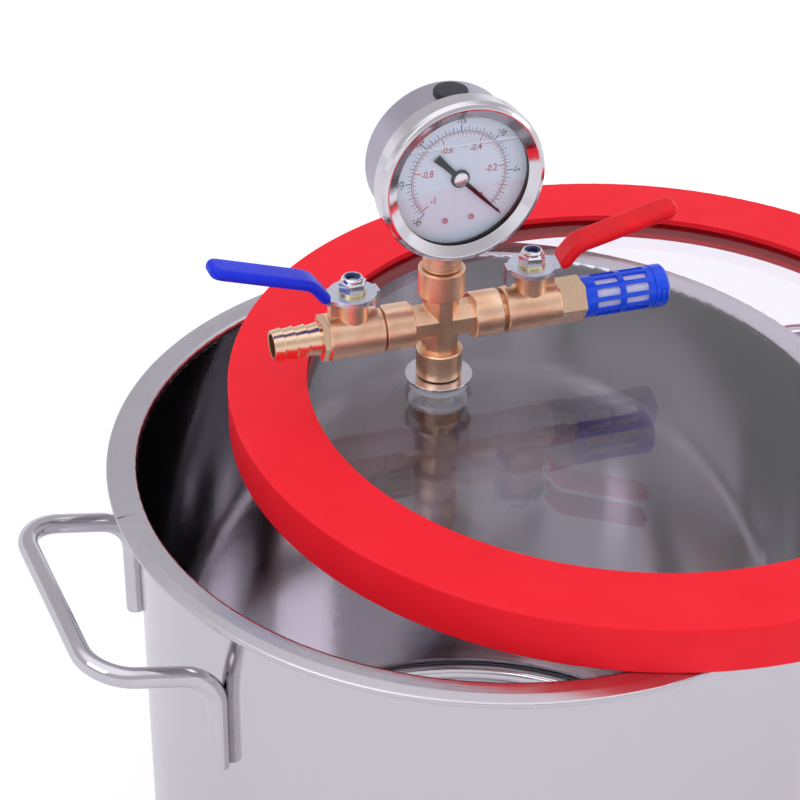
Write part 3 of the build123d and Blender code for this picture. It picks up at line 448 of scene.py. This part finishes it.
clears = {
    "lidGlass": makeClear("lidGlass", {
        "colour": (0.90, 0.88, 0.94), "polish": 0.0, "ior": 1.5,
        "hole": (gaugeCentre.x, gaugeCentre.y, 0.0),
        "holeRadius": 8.1 * mm, "groundPolish": 0.55,
        "groundColour": (1.0, 0.97, 0.98)}),
    "windowGlass": makeClear("windowGlass", {
        "colour": (0.99, 0.99, 1.0), "polish": 0.0, "ior": 1.4}),
    "fillLiquid": makeClear("fillLiquid", {
        "colour": (0.95, 0.95, 0.97), "polish": 0.0, "ior": 1.3}),
}
print("finishes ready")

# Which finish each piece takes.
pieceFinish = {
    "potSteel": ["pot_body"],
    "rimSteel": ["rim_ring"],
    "handleSteel": ["handle_left", "handle_right"],
    "lidGlass": ["lid_glass"],
    "redSilicone": ["lid_gasket"],
    "whiteSilicone": ["upper_seal_washer", "lower_seal_washer"],
    "washerSteel": ["clamp_washer"],
    "blackRubber": ["stem_o_ring", "fill_plug", "window_gasket"],
    "uprightBrass": ["hollow_stem"],
    "castBrass": ["cross_body", "blue_valve_body", "red_valve_body",
                  "gauge_socket"],
    "turnedBrass": ["hose_barb", "muffler_adapter", "blue_valve_retainer",
                    "red_valve_retainer"],
    "mouldedBlue": ["muffler_cage", "muffler_cap"],
    "whiteFelt": ["muffler_felt"],
    "caseSteel": ["gauge_case"],
    "bezelSteel": ["gauge_bezel"],
    "windowGlass": ["gauge_window"],
    "dialPaintAndGlow": ["gauge_dial"],
    "shaftSteel": ["dial_screws", "blue_valve_stem", "red_valve_stem"],
    "pointerPaint": ["gauge_pointer"],
    "clockBrass": ["pointer_shaft", "movement_frame", "sector_gear",
                   "movement_link", "bourdon_tube"],
    "ballChrome": ["blue_valve_ball", "red_valve_ball"],
    "ptfeWhite": ["blue_valve_seats", "red_valve_seats",
                  "blue_stem_packing", "red_stem_packing"],
    "zincPlate": ["blue_lever", "red_lever"],
    "yellowZinc": ["blue_lock_washer", "red_lock_washer"],
    "nutSteel": ["blue_lever_nut", "red_lever_nut"],
    "blueVinyl": ["blue_lever_sleeve"],
    "redVinyl": ["red_lever_sleeve"],
}
allFinishes = {**metals, **plains, **clears}


def dress(obj, finish):
    obj.data.materials.clear()
    obj.data.materials.append(allFinishes[finish])


for finish, names in pieceFinish.items():
    for name in names:
        dress(nodes[name], finish)
# A hair of room round the clear pieces, so that what touches them shows.
clearance = 0.03 * mm
for name in ("lid_glass", "gauge_window"):
    shrink = nodes[name].modifiers.new("clearance", "DISPLACE")
    shrink.strength = -clearance
    shrink.mid_level = 0.0
print("pieces dressed")


# New pieces in mesh code.

def newPiece(name, mesh, finish, body, smooth=True):
    built = bpy.data.meshes.new(name)
    mesh.to_mesh(built)
    mesh.free()
    piece = bpy.data.objects.new(name, built)
    bpy.context.scene.collection.objects.link(piece)
    for face in built.polygons:
        face.use_smooth = smooth
    dress(piece, finish)
    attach(piece, body)
    return piece


def skinRings(mesh, rings, closed=False):
    # quads between rings of the same count; closed joins the last to the first
    made = [[mesh.verts.new(point) for point in ring] for ring in rings]
    count = len(made[0])
    pairs = list(zip(made, made[1:] + made[:1] if closed else made[1:]))
    for low, high in pairs:
        for i in range(count):
            j = (i + 1) % count
            mesh.faces.new((low[i], low[j], high[j], high[i]))
    if not closed:
        mesh.faces.new(list(reversed(made[0])))
        mesh.faces.new(made[-1])


def tubeAlong(mesh, path, radius, sides):
    # a thin round line along path
    rings = []
    for i, point in enumerate(path):
        after = path[min(i + 1, len(path) - 1)]
        before = path[max(i - 1, 0)]
        ahead = (after - before).normalized()
        side = Vector((0, 0, 1)).cross(ahead).normalized()
        up = ahead.cross(side)
        rings.append([point + (side * math.cos(a) + up * math.sin(a)) * radius
                      for a in (2 * math.pi * k / sides
                                for k in range(sides))])
    skinRings(mesh, rings)


# Dipped grips: the lever's run, thicker all round, with soft edges.
# The path is the middle of the plate, out from the stem and up from it.
grip = {"path": ((12.0 * mm, 19.87 * mm), (18.4 * mm, 28.4 * mm),
                 (60.14 * mm, 42.36 * mm)), "blend": 3.2 * mm,
        "halfWidth": 6.55 * mm, "halfThick": 2.35 * mm, "tipRadius": 4.9 * mm,
        "edge": 2.1 * mm, "lip": 1.25 * mm, "lipRun": 1.6 * mm,
        "lipNarrow": 0.6, "crowding": 1.6, "tipFlat": 0.002,
        "tipBand": 0.3 * mm, "cornerMost": 0.98,
        "arc": 7, "across": 6, "steps": 56}


def tipOf(node, stem):
    # the lever's direction from its stem, from its own farthest corners
    corners = [v.co for v in nodes[node].data.vertices]
    flat = [Vector((c.x - stem.x, c.y - stem.y, 0)) for c in corners]
    reach = max(v.length for v in flat)
    far = [v for v in flat if v.length > reach - grip["tipBand"]]
    return sum(far, Vector()).normalized()


def gripRing(centre, side, out, wide, thick):
    # a rounded rectangle, its long sides split so that they stay flat
    corner = min(grip["edge"], thick * grip["cornerMost"],
                 wide * grip["cornerMost"])
    points = []
    for quarter in range(4):
        right = 1 if quarter in (0, 3) else -1
        high = 1 if quarter in (0, 1) else -1
        for k in range(grip["arc"] + 1):
            a = math.pi / 2 * (quarter + k / grip["arc"])
            points.append((right * (wide - corner) + corner * math.cos(a),
                           high * (thick - corner) + corner * math.sin(a)))
        if quarter % 2 == 0:
            x, y = points[-1]
            points += [(x - 2 * x * k / grip["across"], y)
                       for k in range(1, grip["across"])]
    return [centre + side * x + out * y for x, y in points]


def gripMiddle(t):
    # point and direction at share t of the bent path, its corner rounded
    low, bend, end = (Vector(point) for point in grip["path"])
    first, second = (bend - low).length, (end - bend).length
    along = t * (first + second)
    blend = grip["blend"]
    one, two = (bend - low) / first, (end - bend) / second
    if along < first - blend:
        return low + one * along, one
    if along > first + blend:
        return bend + two * (along - first), two
    k = (along - first + blend) / (2 * blend)
    start, finish = bend - one * blend, bend + two * blend
    point = (start * (1 - k) ** 2 + bend * 2 * k * (1 - k)
             + finish * k ** 2)
    return point, (one * (1 - k) + two * k).normalized()


def makeGrip(colour, finish):
    stem = stems[colour]
    ahead = tipOf(colour + "_lever_sleeve", stem)
    side = Vector((0, 0, 1)).cross(ahead)
    up = Vector((0, 0, 1))
    low, bend, end = (Vector(corner) for corner in grip["path"])
    run = (bend - low).length + (end - bend).length
    mesh = bmesh.new()
    rings = []
    for i in range(grip["steps"] + 1):
        t = i / grip["steps"]
        t = 1 - (1 - t) ** grip["crowding"]  # rings crowd at the tip
        point, lean = gripMiddle(t)
        done, left = t * run, (1 - t) * run
        tip = min(left, grip["tipRadius"])
        width = grip["halfWidth"] - grip["tipRadius"] + math.sqrt(
            max(0, grip["tipRadius"] ** 2 - (grip["tipRadius"] - tip) ** 2))
        close = min(left, grip["edge"]) / grip["edge"]
        begin = min(done / grip["lipRun"], 1)
        swell = math.sqrt(max(0, 1 - (1 - begin) ** 2))
        thick = grip["lip"] + (grip["halfThick"] - grip["lip"]) * swell
        thick *= math.sqrt(max(grip["tipFlat"], 1 - (1 - close) ** 2))
        width -= ((grip["halfThick"] - grip["lip"]) * (1 - swell)
                  * grip["lipNarrow"])
        out = up * lean.x - ahead * lean.y
        rings.append(gripRing(stem + ahead * point.x + up * point.y,
                              side, out, width, thick))
    skinRings(mesh, rings)
    bmesh.ops.recalc_face_normals(mesh, faces=mesh.faces[:])
    piece = newPiece(colour + "GripSleeve", mesh, finish,
                     colour + "_handle")
    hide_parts(colour + "_lever_sleeve")


for colour in ("blue", "red"):
    makeGrip(colour, colour + "Vinyl")


# Nylon locking ring in the recess at the top of each nut.
lockRing = {"inner": 2.55 * mm, "outer": 3.27 * mm, "drop": 0.55 * mm,
            "high": 0.85 * mm, "round": 0.18 * mm, "shoulder": 0.3,
            "sides": 48}
for colour in ("blue", "red"):
    stem = stems[colour]
    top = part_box(colour + "_lever_nut")[1].z - lockRing["drop"]
    inner, outer = lockRing["inner"], lockRing["outer"]
    soft, foot = lockRing["round"], top - lockRing["high"]
    part = soft * lockRing["shoulder"]
    section = [(inner, foot), (outer, foot), (outer, top - soft),
               (outer - part, top - part), (outer - soft, top),
               (inner + soft, top), (inner + part, top - part),
               (inner, top - soft)]
    mesh = bmesh.new()
    skinRings(mesh, [[Vector((stem.x + math.cos(a) * r,
                              stem.y + math.sin(a) * r, z))
                      for r, z in section]
                     for a in (2 * math.pi * k / lockRing["sides"]
                               for k in range(lockRing["sides"]))],
              closed=True)
    bmesh.ops.recalc_face_normals(mesh, faces=mesh.faces[:])
    newPiece(colour + "NutRing", mesh, "nylonBlue", colour + "_handle")
print("levers finished")


# Printed scales on the dial: outer 0 to 30, inner 0 to 1, both run
# anticlockwise from the lower right.
dial = {"face": 14.2 * mm, "ink": 0.04 * mm, "zeroAngle": -45.8,
        "sweep": 270.0, "outerTop": 30.0, "innerShare": 29.53 / 30.0,
        "outerRing": 19.8 * mm, "innerRing": 19.3 * mm, "ringWidth": 0.22 * mm,
        "outerTick": (1.5 * mm, 2.1 * mm, 2.7 * mm),
        "innerTick": (1.3 * mm, 1.9 * mm, 2.8 * mm),
        "tickWidth": (0.17 * mm, 0.22 * mm, 0.36 * mm),
        "outerText": 24.2 * mm, "innerText": 13.6 * mm, "textHigh": 3.1 * mm,
        "outerShare": 0.9, "letterSize": 1.35, "letterNarrow": 0.78,
        "letterBold": 0.012, "redArcIn": 0.1 * mm, "redArcShare": 0.8,
        "readFromBelow": -0.5}


def onDial(x, y, depth):
    return (gaugeCentre + gaugeRight * x + Vector((0, 0, 1)) * y
            + gaugeFacing * depth)


def inkBar(mesh, corners):
    # a printed patch with a little body; corners run anticlockwise
    low = [mesh.verts.new(onDial(x, y, dial["face"])) for x, y in corners]
    high = [mesh.verts.new(onDial(x, y, dial["face"] + dial["ink"]))
            for x, y in corners]
    mesh.faces.new(high)
    mesh.faces.new(low[::-1])
    count = len(corners)
    for i in range(count):
        j = (i + 1) % count
        mesh.faces.new((low[i], low[j], high[j], high[i]))


def inkTick(mesh, angle, inner, outer, width):
    along = Vector((math.cos(angle), math.sin(angle)))
    across = Vector((-along.y, along.x)) * width / 2
    inkBar(mesh, [along * inner - across, along * outer - across,
                  along * outer + across, along * inner + across])


def inkArc(mesh, radius, width, start, end, steps=120):
    for i in range(steps):
        a = start + (end - start) * i / steps
        b = start + (end - start) * (i + 1) / steps
        inner, outer = radius - width / 2, radius + width / 2
        inkBar(mesh, [(math.cos(a) * inner, math.sin(a) * inner),
                      (math.cos(a) * outer, math.sin(a) * outer),
                      (math.cos(b) * outer, math.sin(b) * outer),
                      (math.cos(b) * inner, math.sin(b) * inner)])


def inkText(mesh, words, x, y, high, turn):
    curve = bpy.data.curves.new("dialText", "FONT")
    curve.body = words
    curve.size = high * dial["letterSize"]
    curve.align_x = "CENTER"
    curve.align_y = "CENTER"
    curve.extrude = dial["ink"] / 2
    curve.offset = high * dial["letterBold"]
    curve.resolution_u = 3
    holder = bpy.data.objects.new("dialText", curve)
    bpy.context.scene.collection.objects.link(holder)
    bpy.context.view_layer.update()
    shape = bpy.data.meshes.new_from_object(holder)
    c, s = math.cos(turn), math.sin(turn)
    for vertex in shape.vertices:
        px, py, pz = vertex.co
        px *= dial["letterNarrow"]
        vertex.co = onDial(x + px * c - py * s, y + px * s + py * c,
                           dial["face"] + dial["ink"] / 2 + pz)
    mesh.from_mesh(shape)
    bpy.data.objects.remove(holder)
    bpy.data.meshes.remove(shape)


def dialAngle(share):
    return math.radians(dial["zeroAngle"] + dial["sweep"] * share)


blackInk, redInk = bmesh.new(), bmesh.new()
for step in range(0, 61):
    value = step / 2
    size = 2 if value % 5 == 0 else 1 if value % 1 == 0 else 0
    angle = dialAngle(value / dial["outerTop"])
    inkTick(blackInk, angle, dial["outerRing"],
            dial["outerRing"] + dial["outerTick"][size],
            dial["tickWidth"][size])
for value in range(0, 31, 5):
    angle = dialAngle(value / dial["outerTop"])
    turn = angle - math.pi / 2
    if math.sin(angle) < dial["readFromBelow"]:
        turn += math.pi  # the lowest figures read from below
    inkText(blackInk, "-%d" % value if value else "0",
            math.cos(angle) * dial["outerText"],
            math.sin(angle) * dial["outerText"],
            dial["textHigh"] * dial["outerShare"], turn)
inkArc(blackInk, dial["outerRing"], dial["ringWidth"],
       dialAngle(0), dialAngle(1))
for step in range(0, 51):
    size = 2 if step % 10 == 0 else 1 if step % 5 == 0 else 0
    angle = dialAngle(step / 50 * dial["innerShare"])
    inkTick(redInk, angle, dial["innerRing"] - dial["innerTick"][size],
            dial["innerRing"], dial["tickWidth"][size])
for step in range(0, 6):
    angle = dialAngle(step / 5 * dial["innerShare"])
    words = "0" if step == 0 else "-1" if step == 5 else "-0.%d" % (2 * step)
    inkText(redInk, words, math.cos(angle) * dial["innerText"],
            math.sin(angle) * dial["innerText"], dial["textHigh"], 0.0)
inkArc(redInk, dial["innerRing"] - dial["redArcIn"],
       dial["ringWidth"] * dial["redArcShare"],
       dialAngle(0), dialAngle(dial["innerShare"]))
newPiece("dialPrintBlack", blackInk, "dialBlack", "chamber",
         smooth=False)
newPiece("dialPrintRed", redInk, "dialRed", "chamber",
         smooth=False)

# Bright cap on the pointer's boss.
cap = {"radius": 3.05 * mm, "low": 15.2 * mm, "top": 17.25 * mm,
       "round": 0.8 * mm, "shoulderIn": 0.3, "shoulderDown": 0.35,
       "footIn": 0.5 * mm, "footHigh": 0.2 * mm, "crown": 0.1 * mm,
       "flat": 0.5 * mm, "sides": 48}
profile = [(cap["radius"] - cap["footIn"], cap["low"]),
           (cap["radius"], cap["low"] + cap["footHigh"]),
           (cap["radius"], cap["top"] - cap["round"]),
           (cap["radius"] - cap["round"] * cap["shoulderIn"],
            cap["top"] - cap["round"] * cap["shoulderDown"]),
           (cap["radius"] - cap["round"], cap["top"] - cap["crown"]),
           (cap["flat"], cap["top"])]
mesh = bmesh.new()
skinRings(mesh, [[onDial(math.cos(a) * r, math.sin(a) * r, depth)
                  for a in (2 * math.pi * k / cap["sides"]
                            for k in range(cap["sides"]))]
                 for r, depth in profile])
bmesh.ops.recalc_face_normals(mesh, faces=mesh.faces[:])
newPiece("pointerCap", mesh, "shaftSteel", "pointer")

# The damping liquid's surface, in front of the pointer.
liquid = {"level": 14.5 * mm, "thick": 0.3 * mm, "back": 16.0 * mm,
          "front": 17.55 * mm, "reach": 27.4 * mm, "margin": 0.6 * mm}
half = (math.sqrt(liquid["reach"] ** 2 - liquid["level"] ** 2)
        - liquid["margin"])
mesh = bmesh.new()
skinRings(mesh, [[onDial(x, liquid["level"] + up, deep) for up, deep in (
    (0, liquid["back"]), (0, liquid["front"]),
    (liquid["thick"], liquid["front"]), (liquid["thick"], liquid["back"]))]
    for x in (-half, half)])
bmesh.ops.recalc_face_normals(mesh, faces=mesh.faces[:])
newPiece("liquidSurface", mesh, "fillLiquid", "chamber",
         smooth=False)
print("gauge finished")


# The joint across the rim band where its strip was closed.
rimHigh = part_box("rim_ring")[1]
# steps: place along the radius from the rim's outer edge, and drop below
# its top, in mm
seam = {"angle": math.radians(175.5), "width": 0.3 * mm, "top": rimHigh.z,
        "sides": 8,
        "steps": ((-10.6, 0.75), (-9.6, 0.22), (-7.0, 0.08), (-2.5, 0.08),
                  (-0.9, 0.25), (-0.25, 0.75))}
mesh = bmesh.new()
tubeAlong(mesh, [Vector((math.cos(seam["angle"]) * (rimHigh.x + step * mm),
                         math.sin(seam["angle"]) * (rimHigh.x + step * mm),
                         seam["top"] - drop * mm))
                 for step, drop in seam["steps"]],
          seam["width"] / 2, seam["sides"])
newPiece("rimJoint", mesh, "seamSteel", "chamber")
print("pot finished")


# Floor, world, lamps and camera.
room = {"floorHalf": 6.0, "floorColour": (0.80, 0.80, 0.82),
        "floorGlow": 0.36, "horizon": 0.98, "middle": 0.60, "top": 1.30,
        "strength": 1.0, "tint": (0.955, 0.935, 1.0), "mirrorShare": 0.25,
        "rise": (0.0, 0.56, 0.68, 0.84, 0.95, 1.0)}


def backgroundRays(tree):
    # 1 where the camera or a lens looks at it, less in a mirror
    path = addNode(tree, "LightPath").outputs
    mirrored = mathNode(tree, "MULTIPLY", path["Is Glossy Ray"],
                        room["mirrorShare"])
    some = mathNode(tree, "ADD", path["Is Camera Ray"], mirrored)
    return mathNode(tree, "ADD", some, path["Is Transmission Ray"],
                    clamp=True)


def makeFloor():
    mesh = bmesh.new()
    half = room["floorHalf"]
    corners = [mesh.verts.new((x, y, 0)) for x, y in (
        (-half, -half), (half, -half), (half, half), (-half, half))]
    mesh.faces.new(corners)
    built = bpy.data.meshes.new("studioFloor")
    mesh.to_mesh(built)
    mesh.free()
    floor = bpy.data.objects.new("studioFloor", built)
    bpy.context.scene.collection.objects.link(floor)
    material = bpy.data.materials.new("floorPaper")
    material.use_nodes = True
    tree = material.node_tree
    tree.nodes.clear()
    paper = addNode(tree, "BsdfDiffuse",
                    {"Color": (*room["floorColour"], 1)})
    glow = addNode(tree, "Emission", {
        "Color": (1, 1, 1, 1),
        "Strength": mathNode(tree, "MULTIPLY", backgroundRays(tree),
                             room["floorGlow"])})
    both = addNode(tree, "AddShader", {0: paper.outputs[0],
                                       1: glow.outputs[0]})
    out = addNode(tree, "OutputMaterial")
    tree.links.new(both.outputs[0], out.inputs["Surface"])
    floor.data.materials.append(material)


def makeWorld():
    world = bpy.data.worlds.new("studio")
    bpy.context.scene.world = world
    world.use_nodes = True
    tree = world.node_tree
    tree.nodes.clear()
    place = addNode(tree, "TexCoord").outputs["Generated"]
    height = addNode(tree, "SeparateXYZ", {"Vector": place}).outputs["Z"]
    ramp = addNode(tree, "ValToRGB", {"Fac": spread(
        tree, height, 0, 1, -1, 1)})
    steps = list(zip(room["rise"], (
        room["horizon"], room["horizon"], room["middle"], room["middle"],
        room["top"], room["top"])))
    elements = ramp.color_ramp.elements
    while len(elements) < len(steps):
        elements.new(0.5)
    for element, (at, value) in zip(elements, steps):
        element.position = at
        element.color = (value, value, value, 1)
    path = addNode(tree, "LightPath").outputs
    seen = mathNode(tree, "ADD", path["Is Camera Ray"],
                    path["Is Transmission Ray"], clamp=True)
    tinted = mixColours(tree, 1.0, ramp.outputs["Color"],
                        (*room["tint"], 1), "MULTIPLY")
    colour = mixColours(tree, seen, tinted, (1, 1, 1, 1))
    strength = spread(tree, seen, room["strength"], 1.0)
    sky = addNode(tree, "Background", {"Color": colour,
                                       "Strength": strength})
    out = addNode(tree, "OutputWorld")
    tree.links.new(sky.outputs[0], out.inputs["Surface"])


lamps = {
    "keyLamp": {"at": (-1.5, -0.6, 1.9), "size": (1.5, 1.1), "power": 9.0},
    "fillLamp": {"at": (1.6, -0.9, 0.9), "size": (0.5, 1.1), "power": 3.0},
}
lampAim = (0, 0, 0.25)


def makeLamps():
    aim = Vector(lampAim)
    for name, lamp in lamps.items():
        data = bpy.data.lights.new(name, "AREA")
        data.shape = "RECTANGLE"
        data.size, data.size_y = lamp["size"]
        data.energy = lamp["power"]
        holder = bpy.data.objects.new(name, data)
        holder.location = lamp["at"]
        holder.rotation_mode = "QUATERNION"
        holder.rotation_quaternion = (
            aim - holder.location).to_track_quat("-Z", "Y")
        bpy.context.scene.collection.objects.link(holder)


shot = {"at": (-0.33883, -0.65352, 0.76281),
        "forward": (0.34398, 0.75830, -0.55378),
        "roll": 1.0869, "lens": 96.40}


def makeCamera():
    data = bpy.data.cameras.new("camera")
    data.lens = shot["lens"]
    data.sensor_width = 36.0
    camera = bpy.data.objects.new("camera", data)
    bpy.context.scene.collection.objects.link(camera)
    forward = Vector(shot["forward"]).normalized()
    level = forward.cross(Vector((0, 0, 1))).normalized()
    upright = level.cross(forward)
    roll = math.radians(shot["roll"])
    right = level * math.cos(roll) + upright * math.sin(roll)
    up = upright * math.cos(roll) - level * math.sin(roll)
    turn = Matrix((right, up, -forward)).transposed()
    camera.matrix_world = Matrix.Translation(shot["at"]) @ turn.to_4x4()
    bpy.context.scene.camera = camera


makeFloor()
makeWorld()
makeLamps()
makeCamera()
bpy.context.scene.view_settings.view_transform = "Standard"
print("room, lamps and camera ready")
